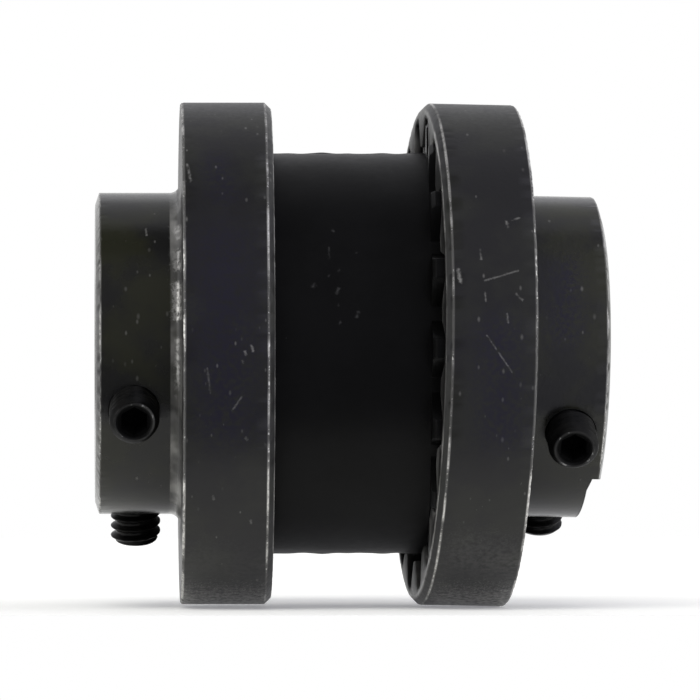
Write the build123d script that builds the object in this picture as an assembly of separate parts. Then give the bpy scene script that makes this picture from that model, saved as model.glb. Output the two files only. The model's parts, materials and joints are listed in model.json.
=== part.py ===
from build123d import *
import os
from math import cos, pi, radians, sin, sqrt, tan

# Flexible shaft coupling: two flanged iron hubs with internal teeth, a rubber sleeve with
# external teeth that locks them together, and two cup-point set screws in each hub.
#
# Frame: millimetres, +Z up.  The origin is the centre of the left bore's mouth, just inside
# its bevel, and +X runs along that bore into the coupling.  The right hub lies a few degrees
# out of line and a little low, as the play between the teeth lets it.

# ---- Hub and flange (both hubs are one casting) ----
flange_diameter = 62.5
flange_thickness = 11.25
flange_front_bevel = 0.8         # edge on the sleeve's side
hub_diameter = 40.0
hub_projection = 10.6            # hub end to the back of the flange
hub_end_bevel = 0.5              # of the hub end's rim, along the axis
hub_end_bevel_rise = 1.5         # the same bevel, across the radius
hub_root_fillet = 1.3            # where the hub meets the flange, as two flats
web_thickness = 2.5              # wall between the back of the flange and the tooth recess
boss_diameter = 31.0             # inner boss, flush with the front of the flange
end_relief_height = 15.1         # bore axis to the step across the right hub's lower end
end_relief_step = 1.3            # depth of that step at its edge
end_relief_depth = 1.75          # its full depth
end_relief_run = 1.4             # from its edge to where it is full

# ---- Bore and keyway ----
bore_diameter = 19.05
bore_bevel = 0.6
keyway_width = 4.76
keyway_depth = 2.4               # below the bore's surface

# ---- Rubber sleeve ----
barrel_diameter = 49.7
sleeve_bore_diameter = 34.0
barrel_length = 22.3             # plain part between the two rings of teeth
sleeve_tooth_length = 5.4
sleeve_tooth_bevel = 0.55        # both ends of each tooth
sleeve_crest_bevel = 0.7         # along both edges of each tooth's crest
left_end_clearance = 0.3         # sleeve end to the floor of the left recess
right_end_clearance = 2.45       # the same on the right, where the hub is not pushed home

# ---- Teeth ----
tooth_count = 18                 # one tooth space lies in line with the keyway
tooth_depth = 3.7                # of the iron teeth, crest to bottom
tooth_space_share = 0.51         # part of the pitch that a space takes, halfway up
tooth_flank_angle = 28.0         # of a flank, from the radius
barrel_clearance = 0.95          # rubber barrel to the crests of the iron teeth
flank_clearance = 0.45           # rubber tooth to iron tooth, on each flank
crest_clearance = 0.45           # rubber tooth's crest to the bottom of its space
wedge_overrun = 1.0              # how far the wedge that forms a tooth runs past it

# ---- Set screws ----
screw_diameter = 6.3             # over the threads
screw_length = 9.5
screw_fit = 0.05                 # radial, in its hole
screw_end_bevel = 0.6
screw_cup_diameter = 3.4
screw_cup_depth = 0.8
screw_socket_across_flats = 3.18
screw_socket_depth = 3.2
first_screw_turn = 1.5           # from the line of the keyway, as drilled
second_screw_turn = 91.0
front_screw_from_flange = 5.9    # axis of a screw on the -Y side to the back of its flange
lower_screw_from_flange = 5.5    # the same for a screw on the underside
front_screw_stand = 4.4          # how far a front screw stands out of its hub
left_lower_screw_stand = 4.75
right_lower_screw_stand = 4.05

# ---- How the pieces stand ----
left_keyway_angle = 18.8         # below the -Y direction
right_hub_turn = 5               # the right hub's keyway is this many teeth further round
right_hub_yaw = 4.5              # outer end turned towards +Y
right_hub_dip = 1.1              # outer end turned down
right_hub_drop = 0.15            # how far the whole hub sinks in the play of its teeth

# ---- Worked out from the above ----
flange_radius = flange_diameter / 2
hub_radius = hub_diameter / 2
bore_radius = bore_diameter / 2
barrel_radius = barrel_diameter / 2
screw_radius = screw_diameter / 2
hub_length = hub_projection + flange_thickness
recess_floor = hub_projection + web_thickness
rim_crest_radius = barrel_radius + barrel_clearance
rim_bottom_radius = rim_crest_radius + tooth_depth
tooth_mid_radius = rim_crest_radius + tooth_depth / 2
tooth_space_width = tooth_space_share * 2 * pi * tooth_mid_radius / tooth_count
sleeve_crest_radius = rim_bottom_radius - crest_clearance
left_hub_end = -bore_bevel
sleeve_start = left_hub_end + recess_floor + left_end_clearance
sleeve_end = sleeve_start + barrel_length + 2 * sleeve_tooth_length
right_hub_end = sleeve_end + right_end_clearance + recess_floor
tilt_pivot_x = sleeve_end - sleeve_tooth_length / 2
right_keyway_angle = left_keyway_angle + right_hub_turn * 360 / tooth_count
end_relief_turn = right_keyway_angle - 90


def along_x(radius, start, end):
    """A cylinder on the X axis."""
    return extrude(Plane.YZ.offset(start) * Circle(radius), end - start)


def bore_space(radius, bevel, start, end):
    """The space inside a round bore whose two mouths are bevelled."""
    outline = Polyline(
        (start, 0), (start, radius + bevel), (start + bevel, radius),
        (end - bevel, radius), (end, radius + bevel), (end, 0), close=True)
    return revolve(make_face(outline), Axis.X)


def radial_frame(x, turn):
    """A frame on the axis at x, its +Z outwards, turned about +X from the -Y direction."""
    outward = Vector(0, -cos(radians(turn)), -sin(radians(turn)))
    return Plane(origin=(x, 0, 0), x_dir=(1, 0, 0), z_dir=outward).location


def tooth_ring(core_radius, crest_radius, trim):
    """A disc with straight-flanked wedges round it, each a tooth space less a trim.

    The trim is taken off square to each flank."""
    slope = tan(radians(tooth_flank_angle))
    half_width = tooth_space_width / 2 - trim / cos(radians(tooth_flank_angle))
    near, far = core_radius - wedge_overrun, crest_radius + wedge_overrun
    half_near = half_width + (tooth_mid_radius - near) * slope
    half_far = half_width + (tooth_mid_radius - far) * slope
    corners = [(near, -half_near), (far, -half_far), (far, half_far), (near, half_near)]
    wedge = make_face(Polyline(*corners, close=True))
    wedges = Sketch() + PolarLocations(0, tooth_count, start_angle=180) * wedge
    return Circle(core_radius) + (Circle(crest_radius) & wedges)


def turned_hub():
    """The outside of a hub as it comes off the lathe, solid, its outer end at x = 0."""
    fillet_rise = hub_root_fillet * (1 - 1 / sqrt(2))
    outline = Polyline(
        (0, 0),
        (0, hub_radius - hub_end_bevel_rise),
        (hub_end_bevel, hub_radius),
        (hub_projection - hub_root_fillet, hub_radius),
        (hub_projection - fillet_rise, hub_radius + fillet_rise),
        (hub_projection, hub_radius + hub_root_fillet),
        (hub_projection, flange_radius),
        (hub_length - flange_front_bevel, flange_radius),
        (hub_length, flange_radius - flange_front_bevel),
        (hub_length, 0),
        close=True,
    )
    return revolve(make_face(outline), Axis.X)


def hub(screws):
    """A hub in its own frame: outer end at the origin, +X into the coupling, keyway along -Y.

    A screw is given as its distance from the flange, its turn from the keyway and its stand."""
    ring = tooth_ring(rim_crest_radius, rim_bottom_radius, 0)
    boss = along_x(boss_diameter / 2, recess_floor, hub_length)
    body = turned_hub() - extrude(Plane.YZ.offset(recess_floor) * ring, hub_length - recess_floor)
    body = body + boss - bore_space(bore_radius, bore_bevel, 0, hub_length)
    key_height = bore_radius + keyway_depth
    body -= Pos(hub_length / 2, -key_height / 2, 0) * Box(hub_length, key_height, keyway_width)
    for from_flange, turn, _ in screws:
        hole = Cylinder(screw_radius + screw_fit, hub_radius, align=(Align.CENTER, Align.CENTER, Align.MIN))
        body -= radial_frame(hub_projection - from_flange, turn) * hole
    return body


def end_relief():
    """The step cut across the lower edge of the right hub's end face, in that hub's frame."""
    outline = Polyline(
        (0, end_relief_height), (end_relief_step, end_relief_height),
        (end_relief_depth, end_relief_height + end_relief_run),
        (end_relief_depth, hub_radius), (0, hub_radius), close=True)
    return radial_frame(0, end_relief_turn) * extrude(Plane.XZ * make_face(outline), hub_radius, both=True)


def set_screw():
    """A headless socket screw with a cup point, its cup end at the origin, outwards along +Z."""
    foot = (Align.CENTER, Align.CENTER, Align.MIN)
    body = Cylinder(screw_radius, screw_length, align=foot)
    body = chamfer(body.edges().filter_by(GeomType.CIRCLE), screw_end_bevel)
    cup = Cone(screw_cup_diameter / 2, 0, screw_cup_depth, align=foot)
    hexagon = RegularPolygon(screw_socket_across_flats / 2, 6, major_radius=False)
    socket = extrude(Pos(0, 0, screw_length - screw_socket_depth) * hexagon, screw_socket_depth)
    return body - cup - socket


def sleeve():
    """The rubber sleeve, in place, its teeth in line with the left hub's spaces."""
    ring = tooth_ring(barrel_radius, sleeve_crest_radius, flank_clearance)
    corners = [v for v in ring.vertices() if Vector(v).length > tooth_mid_radius]
    ring = chamfer(corners, sleeve_crest_bevel)
    body = along_x(barrel_radius, sleeve_start, sleeve_end)
    for start in (sleeve_start, sleeve_end - sleeve_tooth_length):
        envelope = along_x(sleeve_crest_radius, start, start + sleeve_tooth_length)
        envelope = chamfer(envelope.edges().filter_by(GeomType.CIRCLE), sleeve_tooth_bevel)
        body += envelope & extrude(Plane.YZ.offset(start) * ring, sleeve_tooth_length)
    body -= along_x(sleeve_bore_diameter / 2, sleeve_start, sleeve_end)
    return Rot(left_keyway_angle, 0, 0) * body


# ---- Places of the two hubs ----
left_place = Pos(left_hub_end, 0, 0) * Rot(left_keyway_angle, 0, 0)
right_straight = Pos(right_hub_end, 0, 0) * Rot(right_keyway_angle - 180, 0, 0) * Rot(0, 0, 180)
tilt = Rot(0, 0, right_hub_yaw) * Rot(0, right_hub_dip, 0)
tilt_pivot = Pos(tilt_pivot_x, 0, -right_hub_drop)
right_place = tilt_pivot * tilt * Pos(-tilt_pivot_x, 0, 0) * right_straight

# The first screw of the left hub is on the -Y side, and that of the right hub underneath.
front, lower = front_screw_from_flange, lower_screw_from_flange
left_screws = {
    "front": (front, first_screw_turn, front_screw_stand),
    "lower": (lower, second_screw_turn, left_lower_screw_stand)}
right_screws = {
    "lower": (lower, first_screw_turn, right_lower_screw_stand),
    "front": (front, second_screw_turn, front_screw_stand)}

nodes = {
    "left_hub": left_place * hub(left_screws.values()),
    "right_hub": right_place * (hub(right_screws.values()) - end_relief()),
    "flexible_sleeve": sleeve(),
}
screw = set_screw()
screw_places = {}
for side, place, screws in (("left", left_place, left_screws), ("right", right_place, right_screws)):
    for name, (from_flange, turn, stand) in screws.items():
        screw_place = place * radial_frame(hub_projection - from_flange, turn)
        screw_places[f"{side}_{name}_set_screw"] = screw_place
        seat = Pos(0, 0, hub_radius + stand - screw_length)
        nodes[f"{side}_{name}_set_screw"] = screw_place * seat * screw

os.makedirs("parts", exist_ok=True)
for name, solid in nodes.items():
    export_step(solid, f"parts/{name}.step")
    print(f"{name}: {solid.volume:.0f} mm3")

# The places and directions that the mounts and joints share with the solids.
print("right bore", (right_place * Pos(bore_bevel, 0, 0)).position, "outwards", -Plane(right_place).x_dir)
for name, screw_place in screw_places.items():
    print(name, "outwards", Plane(screw_place).z_dir)
print("tilt pivot", tilt_pivot.position, "straightened by", tilt.orientation)
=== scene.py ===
import json
from math import atan2, cos, degrees, hypot, pi, radians, sin, tan

import bmesh
import bpy
from mathutils import Matrix, Vector, noise


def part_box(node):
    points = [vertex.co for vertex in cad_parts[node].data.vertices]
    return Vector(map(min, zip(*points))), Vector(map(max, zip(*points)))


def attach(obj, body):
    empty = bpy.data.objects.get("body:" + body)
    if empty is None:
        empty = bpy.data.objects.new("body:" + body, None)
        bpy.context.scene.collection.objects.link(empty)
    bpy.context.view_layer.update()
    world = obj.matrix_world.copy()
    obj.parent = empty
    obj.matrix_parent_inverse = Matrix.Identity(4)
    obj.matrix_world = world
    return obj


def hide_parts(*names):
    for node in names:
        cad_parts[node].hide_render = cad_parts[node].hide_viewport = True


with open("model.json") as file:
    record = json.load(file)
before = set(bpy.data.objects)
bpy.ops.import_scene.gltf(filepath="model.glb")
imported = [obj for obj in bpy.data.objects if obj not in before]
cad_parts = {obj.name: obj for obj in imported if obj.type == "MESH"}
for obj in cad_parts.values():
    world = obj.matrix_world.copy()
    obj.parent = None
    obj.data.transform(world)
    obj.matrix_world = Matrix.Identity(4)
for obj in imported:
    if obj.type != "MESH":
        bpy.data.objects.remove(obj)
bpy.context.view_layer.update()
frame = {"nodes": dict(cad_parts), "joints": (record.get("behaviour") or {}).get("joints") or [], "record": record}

# ---- Toothed hubs ----
# Two iron castings, turned and broached, with a black oxide finish: a hub on the outside and
# a flange with a ring of internal teeth. One tooth's slice is drawn and repeated round the bore.

mm = 0.001
joints = {joint["name"]: joint for joint in frame["joints"]}
mounts = {mount["name"]: mount for mount in frame["record"]["mounts"]}

tooth_count = 18
crest_radius = 25.8 * mm
bottom_radius = 29.5 * mm
mid_tooth_radius = (crest_radius + bottom_radius) / 2
space_half_width = 2.461 * mm
flank_angle = radians(28)

flange_radius = 31.25 * mm
front_bevel = 0.8 * mm
back_bevel = 0.2 * mm
hub_radius = 20.0 * mm
hub_projection = 10.6 * mm
hub_length = 21.85 * mm
end_bevel = 0.5 * mm
end_bevel_rise = 1.5 * mm
root_fillet = 1.35 * mm
recess_floor = 13.1 * mm
web_radius = 22.5 * mm
boss_radius = 15.5 * mm
boss_fillet = 0.5 * mm
boss_bevel = 0.15 * mm
bore_radius = mounts["left_bore"]["dims"]["r_mm"] * mm
bore_bevel = (hub_length - mounts["left_bore"]["dims"]["length_mm"] * mm) / 2
mouth_rounding = 0.25 * mm
keyway_half = 2.38 * mm
keyway_floor = bore_radius + 2.4 * mm
relief_height = 15.1 * mm
relief_step = 1.3 * mm
relief_depth = 1.75 * mm
relief_run = 1.4 * mm
relief_turn = 28.8


def half_width(radius, trim):
    """Half a tooth space's width at a radius, less a trim square to its flank."""
    return space_half_width - trim / cos(flank_angle) + (mid_tooth_radius - radius) * tan(flank_angle)


def arc_points(corner, before, after, radius, steps):
    """Points of the arc that rounds a corner between two neighbouring points."""
    to_before = (before - corner).normalized()
    to_after = (after - corner).normalized()
    half = to_before.angle(to_after) / 2
    reach = min(radius / tan(half), (before - corner).length * 0.48, (after - corner).length * 0.48)
    radius = reach * tan(half)
    centre = corner + (to_before + to_after).normalized() * radius / sin(half)
    start = corner + to_before * reach - centre
    end = corner + to_after * reach - centre
    turn = start.angle(end)
    shares = [step / steps for step in range(steps + 1)]
    return [centre + (start * sin((1 - s) * turn) + end * sin(s * turn)) / sin(turn) for s in shares]


def on_circle(radius, start, end, count):
    """Points on a circle about the bore, between two angles in degrees, both ends left out."""
    turns = [radians(start + (end - start) * (i + 1) / (count + 1)) for i in range(count)]
    return [Vector((radius * cos(t), radius * sin(t))) for t in turns]


def tooth_outline(inner, outer, trim, inner_round, outer_round):
    """Half a pitch either side of a tooth space, from crest to crest of its neighbours."""
    half_pitch = 180 / tooth_count
    low = Vector((inner, half_width(inner, trim)))
    low = low * (inner / low.length)
    high = Vector((outer, half_width(outer, trim)))
    high = high * (outer / high.length)
    high_turn = degrees(atan2(high.y, high.x))
    edge = Vector((inner * cos(radians(half_pitch)), inner * sin(radians(half_pitch))))
    half = [Vector((outer, 0))] + on_circle(outer, 0, high_turn * 0.55, 2)
    half += arc_points(high, on_circle(outer, 0, high_turn, 1)[0], low, outer_round, 4)
    foot = arc_points(low, high, edge, inner_round, 4)
    half += [half[-1].lerp(foot[0], share / 5) for share in range(1, 5)]
    half += foot
    foot_turn = degrees(atan2(foot[-1].y, foot[-1].x))
    half += on_circle(inner, foot_turn, half_pitch, 2) + [edge]
    mirrored = [Vector((p.x, -p.y)) for p in reversed(half[1:])]
    return mirrored + half


def outward_normals(outline):
    """At each point of an outline, the direction away from the bore."""
    normals = []
    for i in range(len(outline)):
        along = (outline[min(i + 1, len(outline) - 1)] - outline[max(i - 1, 0)]).normalized()
        normals.append(Vector((along.y, -along.x)))
    for i in (0, -1):
        normals[i] = outline[i].normalized()
    return normals


def profile(corners, step):
    """Stations along a turned profile, from corners given as x, radius, rounding and wear.

    Corners are rounded, worn ones keep their wear between two guard stations, and long runs
    get a station at every step."""
    runs = []
    for i, (x, radius, rounding, wear) in enumerate(corners):
        corner = Vector((x, radius))
        if rounding:
            before, after = Vector(corners[i - 1][:2]), Vector(corners[i + 1][:2])
            steps = 8 if rounding > mm else 3
            runs.append([(p, wear) for p in arc_points(corner, before, after, rounding, steps)])
        else:
            runs.append([(corner, wear)])
    guard = 0.15 * mm
    stations = list(runs[0])
    for run in runs[1:]:
        (start, start_wear), (end, end_wear) = stations[-1], run[0]
        length = (end - start).length
        marks = []
        if length > 3 * guard:
            count = int(length / step)
            marks = [share / (count + 1) for share in range(1, count + 1)]
            marks = [mark for mark in marks if 1.4 * guard < mark * length < length - 1.4 * guard]
            marks = [guard / length] * (start_wear > 0) + marks + [1 - guard / length] * (end_wear > 0)
        stations += [(start.lerp(end, mark), 0.0) for mark in marks] + run
    return [(p.x, p.y, wear) for p, wear in stations]


def slice_mesh(name, outline, rings):
    """One tooth's slice of a round body, open at its two sides.

    Each ring is x, then a radius or a shape, then its wear. A shape is a function that gives a
    place for each point of the outline and its normal."""
    normals = outward_normals(outline)
    points, wears = [], []
    for x, place, wear in rings:
        for point, normal in zip(outline, normals):
            spot = place(point, normal) if callable(place) else point.normalized() * place
            points.append((x, -spot.x, -spot.y))
            wears.append(wear)
    width = len(outline)
    faces = []
    for row in range(len(rings)):
        above = (row + 1) % len(rings)
        for column in range(width - 1):
            faces.append((row * width + column, row * width + column + 1,
                          above * width + column + 1, above * width + column))
    mesh = bpy.data.meshes.new(name)
    mesh.from_pydata(points, [], faces)
    mesh.attributes.new("wear", "FLOAT", "POINT").data.foreach_set("value", wears)
    return mesh


def add_node(tree, kind, inputs=(), **settings):
    """Adds a node to a tree. An input is given a plain value or the socket that feeds it."""
    node = tree.nodes.new(kind)
    for name, value in settings.items():
        setattr(node, name, value)
    for name, value in dict(inputs).items():
        if isinstance(value, bpy.types.NodeSocket):
            tree.links.new(value, node.inputs[name])
        else:
            node.inputs[name].default_value = value
    return node


def calc(tree, operation, *inputs):
    """Adds a sum to a tree and gives its result."""
    return add_node(tree, "ShaderNodeMath", enumerate(inputs), operation=operation).outputs[0]


def new_tree(name, kind, inputs, outputs):
    """An empty node group with its named inputs and outputs."""
    tree = bpy.data.node_groups.new(name, kind)
    for in_out, sockets in (("INPUT", inputs), ("OUTPUT", outputs)):
        for socket, socket_kind in sockets.items():
            tree.interface.new_socket(socket, in_out=in_out, socket_type=f"NodeSocket{socket_kind}")
    return tree, add_node(tree, "NodeGroupInput").outputs


def repeat_tree():
    """Geometry nodes that repeat a slice round the X axis and weld the copies into one ring."""
    sizes = {"Slice": "Geometry", "Teeth": "Int", "Weld distance": "Float", "Finish": "Material"}
    tree, given = new_tree("repeat_round_bore", "GeometryNodeTree", sizes, {"Ring": "Geometry"})
    spots = add_node(tree, "GeometryNodePoints", {"Count": given["Teeth"]}).outputs[0]
    index = add_node(tree, "GeometryNodeInputIndex").outputs[0]
    turn = calc(tree, "MULTIPLY", index, calc(tree, "DIVIDE", 2 * pi, given["Teeth"]))
    euler = add_node(tree, "ShaderNodeCombineXYZ", {"X": turn}).outputs[0]
    rotation = add_node(tree, "FunctionNodeEulerToRotation", {0: euler}).outputs[0]
    copies = add_node(tree, "GeometryNodeInstanceOnPoints",
                      {"Points": spots, "Instance": given["Slice"], "Rotation": rotation}).outputs[0]
    real = add_node(tree, "GeometryNodeRealizeInstances", {0: copies}).outputs[0]
    welded = add_node(tree, "GeometryNodeMergeByDistance",
                      {"Geometry": real, "Distance": given["Weld distance"]}).outputs[0]
    finished = add_node(tree, "GeometryNodeSetMaterial",
                        {"Geometry": welded, "Material": given["Finish"]}).outputs[0]
    add_node(tree, "NodeGroupOutput", {0: finished})
    return tree


def run_tree(obj, tree, settings):
    """Runs a tree on an object, which is left with the finished plain mesh."""
    modifier = obj.modifiers.new(tree.name, "NODES")
    modifier.node_group = tree
    for item in tree.interface.items_tree:
        if item.in_out == "INPUT" and item.name in settings:
            modifier[item.identifier] = settings[item.name]
    evaluated = obj.evaluated_get(bpy.context.evaluated_depsgraph_get())
    mesh = bpy.data.meshes.new_from_object(evaluated)
    obj.modifiers.clear()
    obj.data = mesh


def point_outwards(mesh, sharp_angle):
    """Points every face outwards and keeps the real edges sharp."""
    work = bmesh.new()
    work.from_mesh(mesh)
    bmesh.ops.recalc_face_normals(work, faces=work.faces)
    work.to_mesh(mesh)
    work.free()
    mesh.shade_smooth()
    mesh.set_sharp_from_angle(angle=radians(sharp_angle))


def new_piece(name, mesh):
    """A new object at the origin, with its place in its mesh."""
    piece = bpy.data.objects.new(name, mesh)
    bpy.context.scene.collection.objects.link(piece)
    return piece


def cut(piece, cutter_mesh):
    """Takes one solid out of another."""
    cutter = new_piece("cutter", cutter_mesh)
    modifier = piece.modifiers.new("cut", "BOOLEAN")
    modifier.operation = "DIFFERENCE"
    modifier.solver = "EXACT"
    modifier.object = cutter
    evaluated = piece.evaluated_get(bpy.context.evaluated_depsgraph_get())
    mesh = bpy.data.meshes.new_from_object(evaluated)
    piece.modifiers.clear()
    piece.data = mesh
    bpy.data.objects.remove(cutter)


def bar(name, outline, low, high):
    """A straight bar along Y between two places, from its outline in x and z."""
    count = len(outline)
    points = [(x, y, z) for y in (low, high) for x, z in outline]
    faces = [tuple(range(count)), tuple(range(2 * count - 1, count - 1, -1))]
    faces += [(i, i + count, (i + 1) % count + count, (i + 1) % count) for i in range(count)]
    mesh = bpy.data.meshes.new(name)
    mesh.from_pydata(points, [], faces)
    return mesh


def radial_frame(x, turn):
    """A frame on the bore's axis at x, its Z outwards, turned about X from the keyway."""
    outward = Vector((0, -cos(radians(turn)), -sin(radians(turn))))
    along = Vector((1, 0, 0))
    axes = Matrix((along, outward.cross(along), outward)).transposed().to_4x4()
    return Matrix.Translation((x, 0, 0)) @ axes


def turned_mesh(name, rings, sides):
    """A closed round body about Z, from rings given as height and radius."""
    turns = [2 * pi * i / sides for i in range(sides)]
    points = [(radius * cos(turn), radius * sin(turn), z) for z, radius in rings for turn in turns]
    last = len(points) - sides
    faces = [tuple(range(sides - 1, -1, -1)), tuple(range(last, last + sides))]
    for row in range(0, last, sides):
        for i in range(sides):
            j = (i + 1) % sides
            faces.append((row + i, row + j, row + sides + j, row + sides + i))
    mesh = bpy.data.meshes.new(name)
    mesh.from_pydata(points, [], faces)
    return mesh


def as_drawn(point, normal):
    """A ring's shape that is the outline itself."""
    return point


def part_way(radius, shape, share):
    """A ring's shape that lies part of the way from a plain circle to another shape."""
    return lambda p, n: (p.normalized() * radius).lerp(shape(p, n), share)


def set_back(distance):
    """A ring's shape that stands back from the outline by a distance, away from the bore."""
    return lambda p, n: p + n * distance


hub_outline = tooth_outline(crest_radius, bottom_radius, trim=0, inner_round=0.4 * mm,
                            outer_round=0.6 * mm)
hub_rings = profile([
    (hub_length, bottom_radius + 0.5 * mm, 0, 0.0),
    (hub_length, flange_radius - front_bevel, 0.2 * mm, 0.8),
    (hub_length - front_bevel, flange_radius, 0.2 * mm, 1.0),
    (hub_projection + back_bevel, flange_radius, 0.1 * mm, 1.0),
    (hub_projection, flange_radius - back_bevel, 0.1 * mm, 1.0),
    (hub_projection, hub_radius, root_fillet, 0.6),
    (end_bevel, hub_radius, 0.1 * mm, 0.9),
    (0, hub_radius - end_bevel_rise, 0.2 * mm, 0.45),
    (0, bore_radius + bore_bevel, 0.1 * mm, 0.6),
    (bore_bevel, bore_radius, 0, 0.3),
    (hub_length - bore_bevel, bore_radius, 0, 0.3),
    (hub_length, bore_radius + bore_bevel, 0.1 * mm, 0.5),
    (hub_length, boss_radius - boss_bevel, 0.1 * mm, 0.6),
    (hub_length - boss_bevel, boss_radius, 0.1 * mm, 0.4),
    (recess_floor, boss_radius, boss_fillet, 0.0),
    (recess_floor, web_radius, 0, 0.0),
], step=1.7 * mm)
for share in (0.45, 0.8, 0.95):
    hub_rings.append((recess_floor, part_way(web_radius, as_drawn, share), 0.0))
tooth_wall = hub_length - mouth_rounding - recess_floor
for share in (0.03, 0.35, 0.7, 0.93):
    hub_rings.append((recess_floor + tooth_wall * share, as_drawn, 0.0))
for turn in (0, 30, 60, 90):
    away = mouth_rounding * (1 - cos(radians(turn)))
    x = hub_length - mouth_rounding * (1 - sin(radians(turn)))
    hub_rings.append((x, set_back(away), 0.5))

repeat = repeat_tree()
weld_distance = 0.002 * mm
hub_slice = slice_mesh("hub_slice", hub_outline, hub_rings)
# Where the hub is finely turned, where its recess is cut by broaching and takes painted shade, and where handling
# has marked it and painted highlights and reflections go.
regions = {"finely_turned": [], "broached_and_shaded": [], "marked": []}
for vertex in hub_slice.vertices:
    x, radius = vertex.co.x, hypot(vertex.co.y, vertex.co.z)
    on_rim = x > hub_projection and radius > flange_radius - mm
    on_hub = x < hub_projection - 0.05 * mm and radius > hub_radius - 0.1 * mm
    in_recess = boss_radius + boss_fillet < radius < bottom_radius + 0.3 * mm
    regions["finely_turned"].append(float(x < hub_projection - 0.4 * mm))
    regions["broached_and_shaded"].append(float(x > recess_floor - mm and in_recess))
    regions["marked"].append(float(on_rim or on_hub))
for region, shares in regions.items():
    hub_slice.attributes.new(region, "FLOAT", "POINT").data.foreach_set("value", shares)
casting = new_piece("casting", hub_slice)
run_tree(casting, repeat, {"Teeth": tooth_count, "Weld distance": weld_distance})
point_outwards(casting.data, sharp_angle=35)
keyway_outline = [(-mm, -keyway_half), (hub_length + mm, -keyway_half),
                  (hub_length + mm, keyway_half), (-mm, keyway_half)]
cut(casting, bar("keyway", keyway_outline, -keyway_floor, -bore_radius / 2))


def chip_edges(mesh, depth, size):
    """Knocks small chips out of the worn edges of a mesh, where the wear is above a limit."""
    limit = 0.6
    wear = mesh.attributes["wear"].data
    normals = [vertex.normal.copy() for vertex in mesh.vertices]
    for vertex, normal in zip(mesh.vertices, normals):
        bite = noise.noise(vertex.co / size) + 0.5 * noise.noise(vertex.co / size * 2.7)
        loose = max(0.0, wear[vertex.index].value - limit) / (1 - limit)
        vertex.co -= normal * depth * max(0.0, bite) * loose


def hub_place(mount, first_screw):
    """Where a hub stands: its bore's mount and its first set screw's joint say so."""
    inward = -Vector(mounts[mount]["axis"]).normalized()
    back = -Vector(joints[first_screw]["axis"]).normalized()
    up = inward.cross(back).normalized()
    axes = Matrix((inward, up.cross(inward), up)).transposed().to_4x4()
    end = Vector(mounts[mount]["pos_m"]) - inward * bore_bevel
    return Matrix.Translation(end) @ axes @ Matrix.Rotation(radians(-first_screw_turn), 4, "X")


first_screw_turn = 1.5
second_screw_turn = 91.0
front_screw_x = hub_projection - 5.9 * mm
lower_screw_x = hub_projection - 5.5 * mm
screw_spots = {
    "left": {"front": (front_screw_x, first_screw_turn, 4.4 * mm),
             "lower": (lower_screw_x, second_screw_turn, 4.75 * mm)},
    "right": {"front": (front_screw_x, second_screw_turn, 4.4 * mm),
              "lower": (lower_screw_x, first_screw_turn, 4.05 * mm)},
}
places = {
    "left": hub_place("left_bore", "left_front_screw_travel"),
    "right": hub_place("right_bore", "right_lower_screw_travel"),
}
relief_outline = [(-mm, relief_height), (relief_step, relief_height),
                  (relief_depth, relief_height + relief_run),
                  (relief_depth, hub_radius + mm), (-mm, hub_radius + mm)]
hole_radius = 3.14 * mm
hole_bevel = 0.6 * mm
hole_top = 24 * mm
bevel_foot = hub_radius - 0.1 * mm
screw_hole = [(0, hole_radius), (bevel_foot, hole_radius),
              (bevel_foot + hole_bevel, hole_radius + hole_bevel), (hole_top, hole_radius + hole_bevel)]


def mark_and_sheen_tree():
    """Shader nodes for one scratch, nick, soft patch, painted highlight or painted reflection between two points
    of the side towards -Y.
    """
    sizes = {"Start": "Vector", "End": "Vector", "Width": "Float", "Strength": "Float"}
    tree, given = new_tree("mark", "ShaderNodeTree", sizes, {"Mask": "Float"})
    spot = add_node(tree, "ShaderNodeTexCoord").outputs["Object"]
    flat = add_node(tree, "ShaderNodeVectorMath", {0: spot, 1: (1, 0, 1)}, operation="MULTIPLY").outputs[0]
    from_start = add_node(tree, "ShaderNodeVectorMath", {0: flat, 1: given["Start"]}, operation="SUBTRACT")
    run = add_node(tree, "ShaderNodeVectorMath", {0: given["End"], 1: given["Start"]}, operation="SUBTRACT")
    along = add_node(tree, "ShaderNodeVectorMath", {0: from_start.outputs[0], 1: run.outputs[0]},
                     operation="DOT_PRODUCT")
    whole = add_node(tree, "ShaderNodeVectorMath", {0: run.outputs[0], 1: run.outputs[0]},
                     operation="DOT_PRODUCT")
    share = add_node(tree, "ShaderNodeClamp", {0: calc(tree, "DIVIDE", along.outputs["Value"],
                                                       whole.outputs["Value"])}).outputs[0]
    nearest = add_node(tree, "ShaderNodeVectorMath", {0: run.outputs[0], "Scale": share}, operation="SCALE")
    gap = add_node(tree, "ShaderNodeVectorMath", {0: from_start.outputs[0], 1: nearest.outputs[0]},
                   operation="DISTANCE").outputs["Value"]
    rough = add_node(tree, "ShaderNodeTexNoise",
                     {"Vector": spot, "Scale": 5000, "Detail": 3.0}).outputs["Fac"]
    broad = add_node(tree, "ShaderNodeTexNoise",
                     {"Vector": spot, "Scale": 1700, "Detail": 2.0}).outputs["Fac"]
    mask = add_node(tree, "ShaderNodeMapRange",
                    {"Value": calc(tree, "DIVIDE", gap, given["Width"]), "From Min": 0.0,
                     "From Max": calc(tree, "MULTIPLY_ADD", rough, 1.4, -0.1), "To Min": 1.0, "To Max": 0.0},
                    interpolation_type="SMOOTHSTEP").outputs[0]
    faded = add_node(tree, "ShaderNodeMapRange",
                     {"Value": broad, "From Min": 0.3, "From Max": 0.6}).outputs[0]
    mask = calc(tree, "MULTIPLY", mask, calc(tree, "MULTIPLY", faded, given["Strength"]))
    side = add_node(tree, "ShaderNodeSeparateXYZ", {0: spot}).outputs["Y"]
    add_node(tree, "NodeGroupOutput", {0: calc(tree, "MULTIPLY", mask, calc(tree, "LESS_THAN", side, 0.0))})
    return tree


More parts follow.
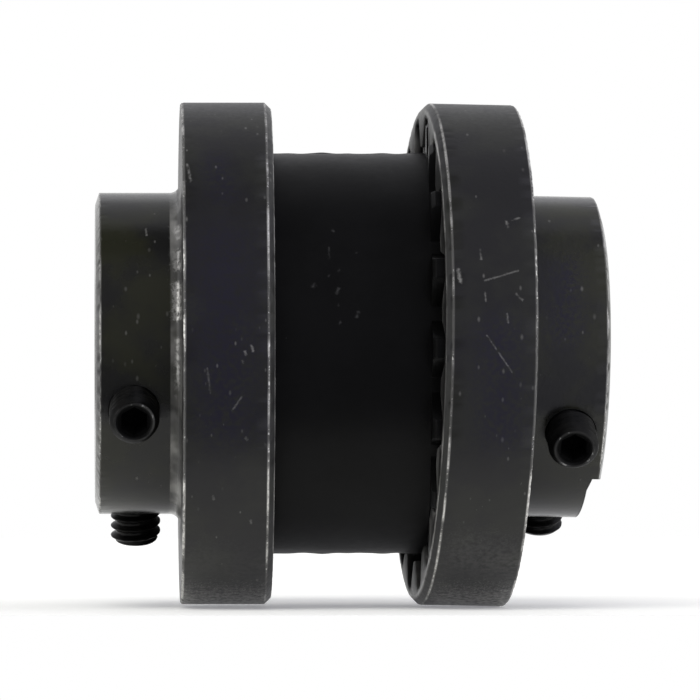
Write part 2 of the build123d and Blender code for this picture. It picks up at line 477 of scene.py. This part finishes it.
def edge_wear_tree():
    """Shader nodes that break the wear of an edge into bare stretches, with a soft polish between."""
    tree, given = new_tree("edge_wear", "ShaderNodeTree", {"Scale": "Float"},
                           {"Bare": "Float", "Polish": "Float"})
    spot = add_node(tree, "ShaderNodeTexCoord").outputs["Object"]
    wear = add_node(tree, "ShaderNodeAttribute", attribute_name="wear").outputs["Fac"]
    jagged = add_node(tree, "ShaderNodeTexNoise", {"Vector": spot, "Scale": given["Scale"], "Detail": 5.0,
                                                   "Roughness": 0.7}).outputs["Fac"]
    broad = add_node(tree, "ShaderNodeTexNoise",
                     {"Vector": spot, "Scale": 160, "Detail": 3.0}).outputs["Fac"]
    uneven = calc(tree, "MULTIPLY_ADD", broad, 2.2, calc(tree, "MULTIPLY", jagged, 2.6))
    worn = calc(tree, "MULTIPLY", wear, calc(tree, "SUBTRACT", uneven, 1.45))
    bare = add_node(tree, "ShaderNodeMapRange", {"Value": worn, "From Min": 0.95, "From Max": 1.25},
                    interpolation_type="SMOOTHSTEP").outputs[0]
    patch = add_node(tree, "ShaderNodeMapRange", {"Value": broad, "From Min": 0.45, "From Max": 0.62},
                     interpolation_type="SMOOTHSTEP").outputs[0]
    polish = calc(tree, "MULTIPLY", wear, calc(tree, "MULTIPLY_ADD", patch, 0.5, 0.12))
    add_node(tree, "NodeGroupOutput", {0: bare, 1: polish})
    return tree


def specks_tree():
    """Shader nodes that scatter small pale flecks, longer round the bore than along it."""
    tree, given = new_tree("specks", "ShaderNodeTree", {"Scale": "Float", "Share": "Float", "Size": "Float"},
                           {"Mask": "Float"})
    spot = add_node(tree, "ShaderNodeTexCoord").outputs["Object"]
    drawn = add_node(tree, "ShaderNodeVectorMath", {0: spot, 1: (1.5, 0.8, 0.8)},
                     operation="MULTIPLY").outputs[0]
    cells = add_node(tree, "ShaderNodeTexVoronoi", {"Vector": drawn, "Scale": given["Scale"]})
    pick = add_node(tree, "ShaderNodeSeparateColor", {0: cells.outputs["Color"]}).outputs
    chosen = calc(tree, "LESS_THAN", pick[0], given["Share"])
    size = calc(tree, "MULTIPLY", given["Size"], calc(tree, "MULTIPLY_ADD", pick[1], 0.8, 0.2))
    inside = add_node(tree, "ShaderNodeMapRange", {"Value": cells.outputs["Distance"], "From Min": 0.0,
                                                   "From Max": size, "To Min": 1.0, "To Max": 0.0}).outputs[0]
    strength = calc(tree, "MULTIPLY", chosen, calc(tree, "MULTIPLY_ADD", pick[2], 0.8, 0.2))
    add_node(tree, "NodeGroupOutput", {0: calc(tree, "MULTIPLY", strength, inside)})
    return tree


def mottle_tree():
    """Shader nodes for a fine grain, and for broad soft patches in the tone of a surface."""
    tree, given = new_tree("mottle", "ShaderNodeTree", {"Grain scale": "Float", "Patch scale": "Float"},
                           {"Grain": "Float", "Patch": "Float"})
    spot = add_node(tree, "ShaderNodeTexCoord").outputs["Object"]
    grain = add_node(tree, "ShaderNodeTexNoise", {"Vector": spot, "Scale": given["Grain scale"],
                                                  "Detail": 6.0, "Roughness": 0.6}).outputs["Fac"]
    patch = add_node(tree, "ShaderNodeTexNoise", {"Vector": spot, "Scale": given["Patch scale"],
                                                  "Detail": 4.0, "Roughness": 0.55}).outputs["Fac"]
    spread = add_node(tree, "ShaderNodeMapRange", {"Value": patch, "From Min": 0.4, "From Max": 0.6},
                      interpolation_type="SMOOTHSTEP").outputs[0]
    add_node(tree, "NodeGroupOutput", {0: grain, 1: spread})
    return tree


mark_and_sheen_group = mark_and_sheen_tree()
wear_group = edge_wear_tree()
speck_group = specks_tree()
mottle_group = mottle_tree()


def place_group(tree, group, inputs):
    """Places a shared shader group in a tree, with its inputs set by name."""
    return add_node(tree, "ShaderNodeGroup", inputs, node_tree=group).outputs


def all_marks_and_sheen(tree, marks):
    """Marks, painted highlights and painted reflections together, each given as start x, z, end x, z and width in
    millimetres, then strength.
    """
    together = 0.0
    for start_x, start_z, end_x, end_z, width, strength in marks:
        mask = place_group(tree, mark_and_sheen_group, {
            "Start": (start_x * mm, 0, start_z * mm), "End": (end_x * mm, 0, end_z * mm),
            "Width": width * mm, "Strength": strength})[0]
        together = calc(tree, "MAXIMUM", together, mask)
    return together


def blend_colour(tree, share, first, second):
    """One colour faded into another by a share."""
    node = add_node(tree, "ShaderNodeMix", {0: share, 6: first, 7: second}, data_type="RGBA")
    return node.outputs[2]


def blend_value(tree, share, first, second):
    """One value faded into another by a share."""
    return add_node(tree, "ShaderNodeMix", {0: share, 2: first, 3: second}, data_type="FLOAT").outputs[0]


def black_oxide(name, tint_and_reflection, marks):
    """Blackened cast iron with a violet tint, partly the finish's own and partly painted reflection: greenish
    where finely turned, dull and painted darker as shade in the recess cut by broaching, bare where worn or
    marked, and bare where painted highlights and reflections are laid on."""
    material = bpy.data.materials.new(name)
    material.use_nodes = True
    tree = material.node_tree
    shader = tree.nodes["Principled BSDF"]
    fine = add_node(tree, "ShaderNodeAttribute", attribute_name="finely_turned").outputs["Fac"]
    inside = add_node(tree, "ShaderNodeAttribute", attribute_name="broached_and_shaded").outputs["Fac"]
    grain, patch = place_group(tree, mottle_group, {"Grain scale": 1600, "Patch scale": 110})
    worn, polish = place_group(tree, wear_group, {"Scale": 2300})
    share = calc(tree, "MULTIPLY_ADD", patch, 0.25, 0.04)
    specks = place_group(tree, speck_group, {"Scale": 900, "Share": share, "Size": 0.35})[0]
    marked = add_node(tree, "ShaderNodeAttribute", attribute_name="marked").outputs["Fac"]
    # Specks and marks together. Among the marks are painted highlights and painted reflection, laid on as bare
    # metal.
    rubbed = calc(tree, "MAXIMUM", calc(tree, "MULTIPLY", specks, 0.22),
                  calc(tree, "MULTIPLY", all_marks_and_sheen(tree, marks), marked))
    bare = calc(tree, "MAXIMUM", calc(tree, "MAXIMUM", worn, polish), rubbed)
    grey = blend_colour(tree, patch, (0.0075, 0.0072, 0.0078, 1), (0.0125, 0.0128, 0.0105, 1))
    olive = blend_colour(tree, patch, (0.0085, 0.0085, 0.0080, 1), (0.0150, 0.0155, 0.0080, 1))
    oxide_and_painted_light = blend_colour(tree, fine, grey, olive)
    # Violet patches on the side towards -Y: partly the finish's own tint, partly painted reflection of the dark
    # side of the studio.
    oxide_and_painted_light = blend_colour(tree, all_marks_and_sheen(tree, tint_and_reflection), oxide_and_painted_light, (0.0068, 0.0058, 0.0150, 1))
    # Painted shade: the recess is coloured darker than the rest, as shade that falls among the teeth.
    oxide_and_painted_light = blend_colour(tree, inside, oxide_and_painted_light, (0.0030, 0.0030, 0.0030, 1))
    colour = blend_colour(tree, bare, oxide_and_painted_light, (0.66, 0.65, 0.62, 1))
    tree.links.new(colour, shader.inputs["Base Color"])
    tree.links.new(bare, shader.inputs["Metallic"])
    gloss = blend_value(tree, inside, blend_value(tree, fine, 0.40, 0.20), 0.85)
    gloss = calc(tree, "MULTIPLY_ADD", grain, 0.2, calc(tree, "SUBTRACT", gloss, 0.1))
    tree.links.new(blend_value(tree, worn, blend_value(tree, polish, gloss, 0.2), 0.38),
                   shader.inputs["Roughness"])
    height = calc(tree, "MULTIPLY_ADD", worn, -0.6, grain)
    bump = add_node(tree, "ShaderNodeBump", {"Strength": 0.4, "Distance": 0.03 * mm, "Height": height})
    tree.links.new(bump.outputs[0], shader.inputs["Normal"])
    shader.inputs["Specular IOR Level"].default_value = 0.36
    return material


# Violet patches, each given as start x, z, end x, z and width in millimetres, then strength: partly the finish's
# own tint, partly painted reflection of the dark side of the studio.
hub_tint_and_reflection = {
    "left": [(15.0, 12.5, 15.0, -8.0, 12.0, 1.0), (14.0, 23.0, 15.0, 20.0, 6.0, 0.8)],
    "right": [(48.5, 2.0, 49.0, -9.5, 9.0, 1.0), (57.0, 9.5, 57.0, 3.0, 7.0, 1.0)],
}
# Scratches and nicks, with painted highlights and painted reflection among them, each given as start x, z, end x,
# z and width in millimetres, then strength.
hub_marks_and_sheen = {
    "left": [
        # Painted highlights: the first four, wide and strong along the left fillet, are bright bare-metal blobs
        # that stand in for highlights.
        (9.4, 15.3, 9.4, 14.4, 1.6, 0.9), (9.4, 12.4, 9.4, 10.8, 1.6, 0.9),
        (9.4, 8.4, 9.4, 4.4, 1.4, 0.9), (9.4, 1.6, 9.4, -5.4, 1.2, 0.5),
        (10.6, 23.2, 11.0, 21.2, 0.42, 0.22), (5.6, 15.3, 5.7, 14.6, 0.34, 0.28),
        (18.3, 0.9, 18.5, 0.3, 0.42, 0.22), (17.5, 0.2, 17.6, -0.1, 0.42, 0.22),
        (17.2, -0.9, 17.3, -1.2, 0.34, 0.17), (16.0, -6.9, 17.1, -5.3, 0.34, 0.17),
        (12.9, -1.8, 13.3, -4.8, 0.34, 0.11), (17.6, -10.3, 17.8, -10.5, 0.42, 0.17),
        (13.7, -17.5, 13.8, -17.8, 0.42, 0.17), (18.3, -20.5, 18.4, -20.8, 0.42, 0.17),
        # Painted reflection: the two wide soft patches on this line lay a pale haze low on the left flange's rim,
        # standing in for the bench reflected there.
        (13.0, -26.0, 19.0, -27.0, 8.0, 0.02), (11.0, -31.5, 20.0, -31.5, 6.0, 0.5),
    ],
    "right": [
        (46.8, 8.9, 50.9, 10.1, 0.3, 0.17), (47.0, 2.2, 50.1, -2.3, 0.26, 0.19),
        (43.6, 10.2, 43.8, 8.8, 0.59, 0.33), (49.6, 16.1, 49.7, 15.5, 0.42, 0.19),
        (50.3, 16.3, 51.2, 16.6, 0.3, 0.17), (46.3, 12.6, 46.4, 11.5, 0.34, 0.17),
        (46.8, 7.4, 46.9, 6.4, 0.34, 0.17), (50.6, 7.3, 51.4, 6.5, 0.34, 0.17),
        # Painted reflection: the last patch on this line and the one below lay a pale haze low on the right
        # flange's rim, standing in for the bench reflected there.
        (49.5, 4.8, 49.6, 3.8, 0.34, 0.17), (45.0, -25.0, 51.0, -26.0, 8.0, 0.05),
        (43.0, -31.5, 51.0, -31.5, 6.0, 0.5),
    ],
}
for side, place in places.items():
    body = new_piece(f"{side}_toothed_hub", casting.data.copy())
    for x, turn, _ in screw_spots[side].values():
        hole = turned_mesh("hole", screw_hole, sides=72)
        hole.transform(radial_frame(x, turn))
        cut(body, hole)
    if side == "right":
        relief = bar("relief", relief_outline, -hub_radius, hub_radius)
        relief.transform(radial_frame(0, relief_turn))
        cut(body, relief)
    body.data.transform(place)
    point_outwards(body.data, sharp_angle=35)
    chip_edges(body.data, depth=0.22 * mm, size=0.9 * mm)
    body.data.materials.clear()
    body.data.materials.append(black_oxide(f"{side}_hub_black_oxide", hub_tint_and_reflection[side], hub_marks_and_sheen[side]))
    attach(body, f"{side}_hub")
    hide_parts(f"{side}_hub")
bpy.data.objects.remove(casting)

# ---- Rubber sleeve ----
# One moulding in black rubber: a plain barrel with a ring of teeth at each end, which sit in
# the hubs' tooth spaces with a little play. The mould's parting line runs along top and bottom.

barrel_radius = 24.85 * mm
sleeve_crest = 29.05 * mm
sleeve_bore = 17.0 * mm
bore_mouth = 17.6 * mm
plain_face_radius = 21 * mm
tooth_length = 5.4 * mm
tooth_bevel = 0.55 * mm
flank_trim = 0.45 * mm
sleeve_low, sleeve_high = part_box("flexible_sleeve")
start, end = sleeve_low.x, sleeve_high.x
left_shoulder, right_shoulder = start + tooth_length, end - tooth_length

sleeve_outline = tooth_outline(barrel_radius, sleeve_crest, trim=flank_trim, inner_round=0.45 * mm,
                               outer_round=0.7 * mm)
sleeve_marks = [
    (28.5, 15.1, 28.6, 15.0, 0.42, 0.28), (28.0, 13.0, 28.0, 11.7, 0.34, 0.22),
    (31.3, 12.4, 31.4, 12.4, 0.34, 0.22), (29.1, 10.1, 29.2, 10.2, 0.34, 0.22),
    (27.9, 9.5, 28.0, 9.6, 0.34, 0.22), (26.0, 8.2, 26.2, 8.4, 0.59, 0.33),
    (28.9, 7.4, 29.1, 7.9, 0.51, 0.33), (29.1, 5.9, 29.1, 6.0, 0.34, 0.28),
    (31.3, 4.5, 31.5, 5.0, 0.51, 0.33), (29.2, 3.7, 29.3, 3.8, 0.42, 0.28),
]


def black_rubber():
    """Moulded synthetic rubber, black and dull, with dust specks and a few rubbed marks."""
    material = bpy.data.materials.new("black_rubber")
    material.use_nodes = True
    tree = material.node_tree
    shader = tree.nodes["Principled BSDF"]
    grain, patch = place_group(tree, mottle_group, {"Grain scale": 900, "Patch scale": 90})
    dust = place_group(tree, speck_group, {"Scale": 500, "Share": 0.04, "Size": 0.2})[0]
    pale = calc(tree, "MAXIMUM", calc(tree, "MULTIPLY", dust, 0.4), all_marks_and_sheen(tree, sleeve_marks))
    body = blend_colour(tree, patch, (0.0014, 0.0014, 0.0014, 1), (0.0024, 0.0024, 0.0025, 1))
    tree.links.new(blend_colour(tree, pale, body, (0.10, 0.10, 0.10, 1)), shader.inputs["Base Color"])
    tree.links.new(calc(tree, "MULTIPLY_ADD", grain, 0.12, 0.38), shader.inputs["Roughness"])
    bump = add_node(tree, "ShaderNodeBump", {"Strength": 0.2, "Distance": 0.05 * mm, "Height": grain})
    tree.links.new(bump.outputs[0], shader.inputs["Normal"])
    shader.inputs["Specular IOR Level"].default_value = 0.13
    return material


def within(limit):
    """A ring's shape that keeps a tooth's outline inside a radius, as a bevel does."""
    return lambda p, n: p * min(1, limit / p.length)


def toothed_end(face, shoulder):
    """Rings of one ring of teeth, from the sleeve's end face to the shoulder at the barrel."""
    inward = 1 if shoulder > face else -1
    limit = sleeve_crest - tooth_bevel
    edge = 0.06 * mm
    rings = []
    for share in (0.3, 0.65, 0.95):
        rings.append((face, part_way(plain_face_radius, within(limit), share), 0.0))
    rings.append((face + inward * edge, within(limit + edge), 0.6))
    rings.append((face + inward * tooth_bevel, within(sleeve_crest), 0.3))
    for share in (0.3, 0.5, 0.7):
        rings.append((face + inward * tooth_length * share, within(sleeve_crest), 0.0))
    rings.append((shoulder - inward * tooth_bevel, within(sleeve_crest), 0.3))
    rings.append((shoulder - inward * edge, within(limit + edge), 1.0))
    rings.append((shoulder, within(limit - edge), 1.0))
    rings.append((shoulder, part_way(barrel_radius, within(limit), 0.5), 0.0))
    return rings


face_radii = (bore_mouth, 19.5 * mm, plain_face_radius)
barrel_steps = 80
sleeve_rings = [(start, radius, 0.0) for radius in face_radii]
sleeve_rings += toothed_end(start, left_shoulder)
for step in range(barrel_steps + 1):
    sleeve_rings.append((left_shoulder + (right_shoulder - left_shoulder) * step / barrel_steps,
                         barrel_radius, 0.0))
sleeve_rings += reversed(toothed_end(end, right_shoulder))
sleeve_rings += [(end, radius, 0.0) for radius in reversed(face_radii)]
mouth_depth = bore_mouth - sleeve_bore
bore_steps = 8
for step in range(bore_steps + 1):
    x = end - mouth_depth + (start - end + 2 * mouth_depth) * step / bore_steps
    sleeve_rings.append((x, sleeve_bore, 0.0))

rubber_sleeve = new_piece("rubber_sleeve", slice_mesh("sleeve_slice", sleeve_outline, sleeve_rings))
run_tree(rubber_sleeve, repeat, {
    "Teeth": tooth_count, "Weld distance": weld_distance, "Finish": black_rubber()})
rubber_sleeve.data.transform(places["left"].to_3x3().to_4x4())


def raise_parting_line(mesh):
    """Raises the thin uneven flash that the two halves of the mould leave along the barrel."""
    flash_height = 0.22 * mm
    flash_width = 0.6 * mm
    flash_length = 2.4 * mm
    wave_height = 0.06 * mm
    wave_length = 6 * mm
    for vertex in mesh.vertices:
        co = vertex.co
        radius = hypot(co.y, co.z)
        if left_shoulder < co.x < right_shoulder and radius > barrel_radius - 0.1 * mm:
            ridge = max(0.0, 1 - abs(co.y) / flash_width)
            uneven = 0.45 + 0.9 * noise.noise(Vector((co.x / flash_length, co.z, 0)))
            wave = wave_height * noise.noise(co / wave_length)
            growth = (radius + flash_height * ridge * max(0.0, uneven) + wave) / radius
            vertex.co = Vector((co.x, co.y * growth, co.z * growth))


raise_parting_line(rubber_sleeve.data)
point_outwards(rubber_sleeve.data, sharp_angle=35)
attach(rubber_sleeve, "sleeve")
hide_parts("flexible_sleeve")

# ---- Set screws ----
# Four headless steel screws with a rolled thread, a cup point that bites the shaft and a
# hexagon socket. Two stand in each hub, about a quarter turn apart, and are not screwed home.

screw_length = 9.5 * mm
screw_radius = 3.1 * mm
root_radius = 2.6 * mm
end_radius = 2.5 * mm
cup_radius = 1.7 * mm
cup_depth = 0.8 * mm
thread_pitch = 1.27 * mm
thread_depth = 0.62 * mm
socket_flats = 3.18 * mm
socket_mouth = 2.25 * mm
socket_throat = 1.95 * mm
socket_depth = 3.2 * mm
screw_columns = 72


def hexagon(turn, across_flats):
    """The radius of a hexagon's wall at an angle, with two of its corners on the Y axis."""
    return across_flats / 2 / cos((turn + pi / 6) % (pi / 3) - pi / 6)


def screw_blank():
    """A screw before its thread is rolled: rings of height, radius, thread share and socket share."""
    rounding = 0.02 * mm
    rim = 0.06 * mm
    plain_end = 0.08 * mm
    drill_point = 0.4 * mm
    rings = [(cup_depth, 0, 0, 0), (0, cup_radius, 0, 0), (0, (cup_radius + end_radius) / 2, 0, 0),
             (rounding, end_radius, 0, 0)]
    steps = 96
    for step in range(steps + 1):
        rings.append((plain_end + (screw_length - 2 * plain_end) * step / steps, root_radius, 1, 0))
    rings += [(screw_length - rounding, end_radius, 0, 0), (screw_length, end_radius - rim, 0, 0),
              (screw_length, socket_mouth + rim, 0, 0), (screw_length - 2 * rounding, socket_mouth, 0, 0),
              (screw_length - 0.28 * mm, socket_throat, 0, 0), (screw_length - 0.5 * mm, 0, 0, 1)]
    rings += [(screw_length - socket_depth * share, 0, 0, 1) for share in (0.3, 0.6, 1.0)]
    rings.append((screw_length - socket_depth - drill_point, 0, 0, 0))
    points, threaded, wears, depths = [], [], [], []
    for z, radius, is_thread, is_socket in rings:
        for column in range(screw_columns):
            turn = 2 * pi * column / screw_columns
            r = hexagon(turn, socket_flats) if is_socket else radius
            points.append((r * cos(turn), r * sin(turn), z))
            threaded.append(float(is_thread))
            wears.append(0.9 if abs(z - screw_length) < 0.03 * mm else 0.0)
            depths.append(float(z > screw_length / 2 and r < socket_mouth and not is_thread))
    faces = []
    for row in range(len(rings) - 1):
        for column in range(screw_columns):
            beside = (column + 1) % screw_columns
            faces.append((row * screw_columns + column, row * screw_columns + beside,
                          (row + 1) * screw_columns + beside, (row + 1) * screw_columns + column))
    mesh = bpy.data.meshes.new("screw_blank")
    mesh.from_pydata(points, [], faces)
    mesh.attributes.new("threaded", "FLOAT", "POINT").data.foreach_set("value", threaded)
    mesh.attributes.new("wear", "FLOAT", "POINT").data.foreach_set("value", wears)
    mesh.attributes.new("in_socket", "FLOAT", "POINT").data.foreach_set("value", depths)
    return mesh


def thread_tree():
    """Geometry nodes that roll a helical thread on the marked part of a round blank."""
    steepness = 2.6
    crest_flat = 0.12
    sizes = {"Blank": "Geometry", "Pitch": "Float", "Crest radius": "Float", "Depth": "Float",
             "End radius": "Float", "Length": "Float", "Finish": "Material"}
    tree, given = new_tree("roll_thread", "GeometryNodeTree", sizes, {"Screw": "Geometry"})
    spot = add_node(tree, "GeometryNodeInputPosition").outputs[0]
    x, y, z = add_node(tree, "ShaderNodeSeparateXYZ", {0: spot}).outputs
    turn = calc(tree, "ARCTAN2", y, x)
    climb = calc(tree, "SUBTRACT", calc(tree, "DIVIDE", z, given["Pitch"]),
                 calc(tree, "DIVIDE", turn, 2 * pi))
    phase = calc(tree, "FRACT", calc(tree, "ADD", climb, 10))
    ridge = calc(tree, "MULTIPLY", calc(tree, "ABSOLUTE", calc(tree, "SUBTRACT", phase, 0.5)), steepness)
    slope = calc(tree, "MAXIMUM", calc(tree, "SUBTRACT", calc(tree, "MINIMUM", ridge, 1), crest_flat), 0)
    groove = calc(tree, "MULTIPLY", calc(tree, "DIVIDE", slope, 1 - crest_flat), given["Depth"])
    radius = calc(tree, "SUBTRACT", given["Crest radius"], groove)
    foot = calc(tree, "ADD", given["End radius"], z)
    top = calc(tree, "ADD", given["End radius"], calc(tree, "SUBTRACT", given["Length"], z))
    limited = calc(tree, "MINIMUM", radius, calc(tree, "MINIMUM", foot, top))
    place = add_node(tree, "ShaderNodeCombineXYZ",
                     {"X": calc(tree, "MULTIPLY", calc(tree, "COSINE", turn), limited),
                      "Y": calc(tree, "MULTIPLY", calc(tree, "SINE", turn), limited), "Z": z}).outputs[0]
    mark = add_node(tree, "GeometryNodeInputNamedAttribute", {"Name": "threaded"}).outputs["Attribute"]
    chosen = add_node(tree, "FunctionNodeCompare", {0: mark, 1: 0.5}).outputs[0]
    moved = add_node(tree, "GeometryNodeSetPosition",
                     {"Geometry": given["Blank"], "Selection": chosen, "Position": place}).outputs[0]
    welded = add_node(tree, "GeometryNodeMergeByDistance", {"Geometry": moved, "Distance": 1e-6}).outputs[0]
    real = add_node(tree, "GeometryNodeRealizeInstances", {0: welded}).outputs[0]
    finished = add_node(tree, "GeometryNodeSetMaterial",
                        {"Geometry": real, "Material": given["Finish"]}).outputs[0]
    add_node(tree, "NodeGroupOutput", {0: finished})
    return tree


def black_steel():
    """Alloy steel, quenched black and oiled, bright on the rim of its end, and painted near black in its socket as
    shade.
    """
    material = bpy.data.materials.new("black_screw_steel")
    material.use_nodes = True
    tree = material.node_tree
    shader = tree.nodes["Principled BSDF"]
    grain, patch = place_group(tree, mottle_group, {"Grain scale": 2500, "Patch scale": 600})
    shaded_socket = add_node(tree, "ShaderNodeAttribute", attribute_name="in_socket").outputs["Fac"]
    bare, polish = place_group(tree, wear_group, {"Scale": 900})
    worn = calc(tree, "MULTIPLY", calc(tree, "MAXIMUM", bare, calc(tree, "MULTIPLY", polish, 0.5)), 0.6)
    oxide_and_painted_light = blend_colour(tree, patch, (0.0030, 0.0030, 0.0030, 1), (0.0060, 0.0058, 0.0054, 1))
    # Painted shade: the socket is coloured near black, as shade that falls down inside it.
    oxide_and_painted_light = blend_colour(tree, shaded_socket, oxide_and_painted_light, (0.0005, 0.0005, 0.0005, 1))
    tree.links.new(blend_colour(tree, worn, oxide_and_painted_light, (0.4, 0.4, 0.39, 1)), shader.inputs["Base Color"])
    tree.links.new(worn, shader.inputs["Metallic"])
    gloss = calc(tree, "MULTIPLY_ADD", grain, 0.2, 0.22)
    tree.links.new(blend_value(tree, shaded_socket, gloss, 0.95), shader.inputs["Roughness"])
    bump = add_node(tree, "ShaderNodeBump", {"Strength": 0.2, "Distance": 0.03 * mm, "Height": grain})
    tree.links.new(bump.outputs[0], shader.inputs["Normal"])
    shader.inputs["Specular IOR Level"].default_value = 0.14
    return material


model_screw = new_piece("model_screw", screw_blank())
run_tree(model_screw, thread_tree(), {
    "Pitch": thread_pitch, "Crest radius": screw_radius, "Depth": thread_depth,
    "End radius": end_radius, "Length": screw_length, "Finish": black_steel()})
point_outwards(model_screw.data, sharp_angle=40)
for side, spots in screw_spots.items():
    for where, (x, turn, stand) in spots.items():
        seat = Matrix.Translation((0, 0, hub_radius + stand - screw_length))
        screw = new_piece(f"{side}_{where}_socket_screw", model_screw.data.copy())
        screw.data.transform(places[side] @ radial_frame(x, turn) @ seat)
        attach(screw, f"{side}_{where}_screw")
        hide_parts(f"{side}_{where}_set_screw")
bpy.data.objects.remove(model_screw)

# ---- Bench, light and camera ----
# A pale bench just under the lowest piece, a soft white studio that is darker overhead and on
# the viewer's side, and a long lens, nearly square to the coupling's side.

floor_gap = 0.05 * mm
lowest = min(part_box(node)[0].z for node in frame["nodes"])
bench_thickness = 0.05 * mm
bench_left, bench_right = -160 * mm, 220 * mm
bench_front, bench_back = -45 * mm, 500 * mm
bench_top = lowest - floor_gap
bench_bottom = bench_top - bench_thickness
bench_outline = [(bench_left, bench_bottom), (bench_right, bench_bottom), (bench_right, bench_top),
                 (bench_left, bench_top)]
bench = new_piece("bench", bar("bench", bench_outline, bench_front, bench_back))
point_outwards(bench.data, sharp_angle=30)
paint = bpy.data.materials.new("pale_bench")
paint.use_nodes = True
tree = paint.node_tree
shader = tree.nodes["Principled BSDF"]
shader.inputs["Base Color"].default_value = (0.90, 0.90, 0.84, 1)
shader.inputs["Roughness"].default_value = 0.6
shader.inputs["Specular IOR Level"].default_value = 0.2
rays = add_node(tree, "ShaderNodeLightPath").outputs
direct = calc(tree, "MAXIMUM", rays["Is Camera Ray"], rays["Is Glossy Ray"])
seen = calc(tree, "MAXIMUM", direct, rays["Is Transmission Ray"])
glow = add_node(tree, "ShaderNodeEmission", {"Color": (0.94, 0.94, 1.0, 1),
                                             "Strength": calc(tree, "MULTIPLY", seen, 0.24)})
both = add_node(tree, "ShaderNodeAddShader", {0: shader.outputs[0], 1: glow.outputs[0]})
tree.links.new(both.outputs[0], tree.nodes["Material Output"].inputs["Surface"])
bench.data.materials.append(paint)

world = bpy.data.worlds.new("studio")
bpy.context.scene.world = world
world.use_nodes = True
tree = world.node_tree
direction = add_node(tree, "ShaderNodeTexCoord").outputs["Generated"]
x, y, z = add_node(tree, "ShaderNodeSeparateXYZ", {0: direction}).outputs
turn = calc(tree, "ARCTAN2", z, calc(tree, "MULTIPLY", y, -1.0))
way_round = calc(tree, "MULTIPLY_ADD", turn, 0.5 / pi, 0.5)
studio = add_node(tree, "ShaderNodeValToRGB", {0: way_round})
# Degrees up from the viewer's side and over the top, each with how light the studio is there.
tones = [(-180, 1.0), (-150, 0.5), (-50, 0.2), (-15, 0.18), (10, 0.3), (68, 0.25), (80, 0.1), (98, 0.08),
         (106, 0.5), (138, 0.5), (150, 0.8), (164, 0.6), (178, 1.0)]
ramp = studio.color_ramp
while len(ramp.elements) < len(tones):
    ramp.elements.new(0.5)
for stop, (angle, tone) in zip(ramp.elements, tones):
    stop.position = (angle + 180) / 360
    stop.color = (tone, tone, tone * 1.04, 1)
aside = add_node(tree, "ShaderNodeMapRange", {"Value": calc(tree, "ABSOLUTE", x), "From Min": 0.75,
                                              "From Max": 0.95}, interpolation_type="SMOOTHSTEP").outputs[0]
window = add_node(tree, "ShaderNodeMapRange", {"Value": x, "From Min": 0.08, "From Max": 0.22},
                  interpolation_type="SMOOTHSTEP").outputs[0]
in_front = calc(tree, "LESS_THAN", y, 0.5)
window = calc(tree, "MULTIPLY", window, in_front)
room = blend_colour(tree, window, studio.outputs[0], (0.75, 0.75, 0.85, 1))
room = blend_colour(tree, aside, room, (1.6, 1.6, 1.6, 1))
behind = add_node(tree, "ShaderNodeMapRange",
                  {"Value": calc(tree, "ABSOLUTE", turn), "From Min": radians(160),
                   "From Max": radians(170)}).outputs[0]
rays = add_node(tree, "ShaderNodeLightPath").outputs
mirrored = calc(tree, "MULTIPLY", rays["Is Glossy Ray"], behind)
direct = calc(tree, "MAXIMUM", rays["Is Camera Ray"], rays["Is Transmission Ray"])
seen = calc(tree, "MAXIMUM", direct, mirrored)
backdrop = blend_colour(tree, seen, room, (1.0, 1.0, 1.0, 1))
tree.links.new(backdrop, tree.nodes["Background"].inputs["Color"])

key_data = bpy.data.lights.new("key", "SUN")
key_data.energy = 1.6
key_data.angle = radians(40)
key = bpy.data.objects.new("key", key_data)
key.rotation_euler = (radians(35), radians(-12), 0)
key.visible_glossy = False
bpy.context.scene.collection.objects.link(key)

sensor_width = 36
view_distance = 1.38
view_width = 87.28 * mm
view_side = radians(-1.6)
middle = Vector((31.17 * mm, 0, 0.42 * mm))
camera_data = bpy.data.cameras.new("camera")
camera_data.sensor_width = sensor_width
camera_data.lens = sensor_width * view_distance / view_width
camera_data.clip_start = 0.1
camera_data.clip_end = 10
camera = bpy.data.objects.new("camera", camera_data)
bpy.context.scene.collection.objects.link(camera)
camera.location = middle + Vector((sin(view_side), -cos(view_side), 0)) * view_distance
camera.rotation_euler = (radians(90), 0, view_side)
bpy.context.scene.camera = camera
bpy.context.scene.view_settings.view_transform = "Standard"
